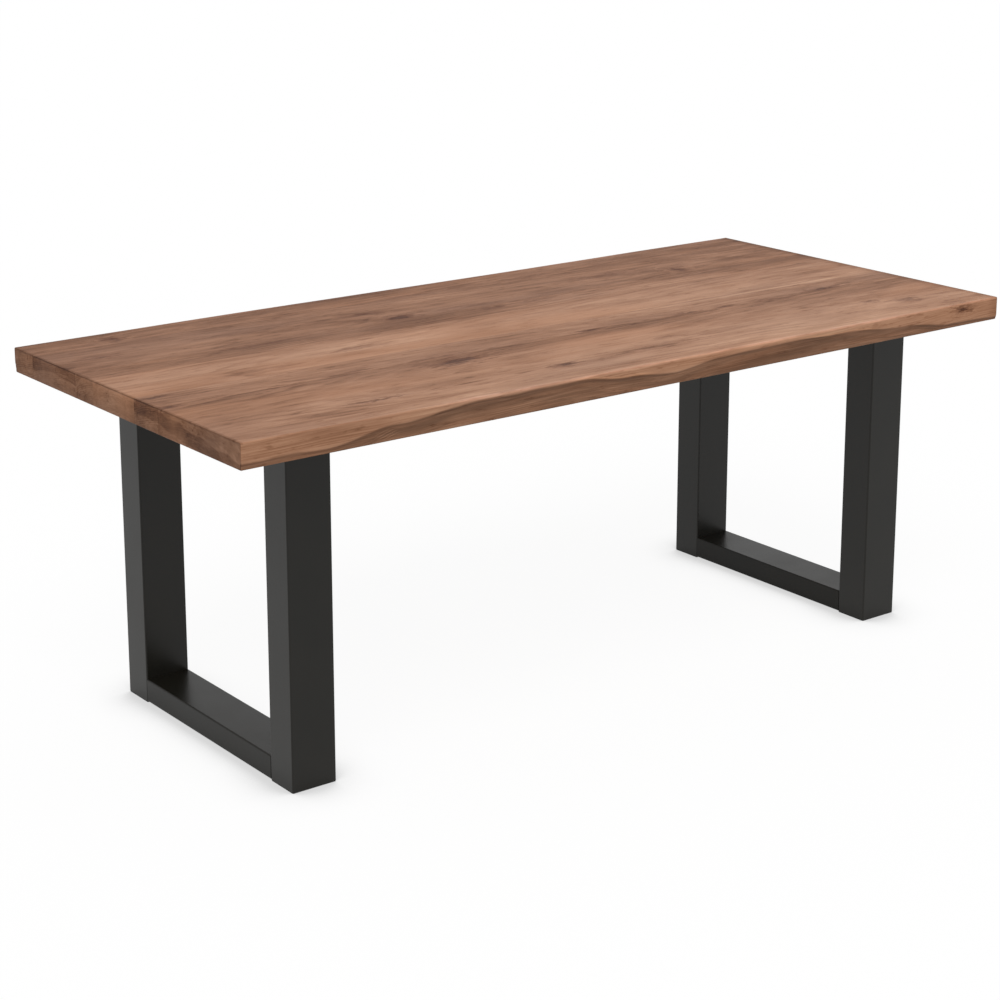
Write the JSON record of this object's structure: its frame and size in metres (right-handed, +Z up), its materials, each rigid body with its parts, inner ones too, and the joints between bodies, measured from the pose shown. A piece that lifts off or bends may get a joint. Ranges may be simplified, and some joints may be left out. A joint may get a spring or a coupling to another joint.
{
  "type": "live edge dining table",
  "caption": "Rectangular dining table with a thick glued-up wooden top with natural front and back edges on two U-shaped frames of black steel tube.",
  "frame": {"origin": "on the floor, under the middle of the top", "axes": "+X along the table to the right-hand frame, +Y from the front live edge to the back one, +Z up"},
  "size_m": [2, 0.9151, 0.76],
  "materials": {
    "wood": "satin oiled walnut-brown acacia",
    "frame_steel": "satin black powder coat",
    "foot_plastic": "matt black",
    "zinc": "bright zinc plating"
  },
  "bodies": {
    "root": {"rear_live_edge_board": "wood", "rear_wide_board": "wood", "rear_narrow_board": "wood", "middle_board": "wood", "front_narrow_board": "wood", "front_live_edge_board": "wood", "left_front_upright": "frame_steel", "left_rear_upright": "frame_steel", "left_crossbar": "frame_steel", "left_top_plate": "frame_steel", "left_front_foot_plug": "foot_plastic", "left_rear_foot_plug": "foot_plastic", "left_plate_bolts": "zinc", "left_plate_washers": "zinc", "left_slab_inserts": "zinc", "right_front_upright": "frame_steel", "right_rear_upright": "frame_steel", "right_crossbar": "frame_steel", "right_top_plate": "frame_steel", "right_front_foot_plug": "foot_plastic", "right_rear_foot_plug": "foot_plastic", "right_plate_bolts": "zinc", "right_plate_washers": "zinc", "right_slab_inserts": "zinc"}
  },
  "joints": []
}
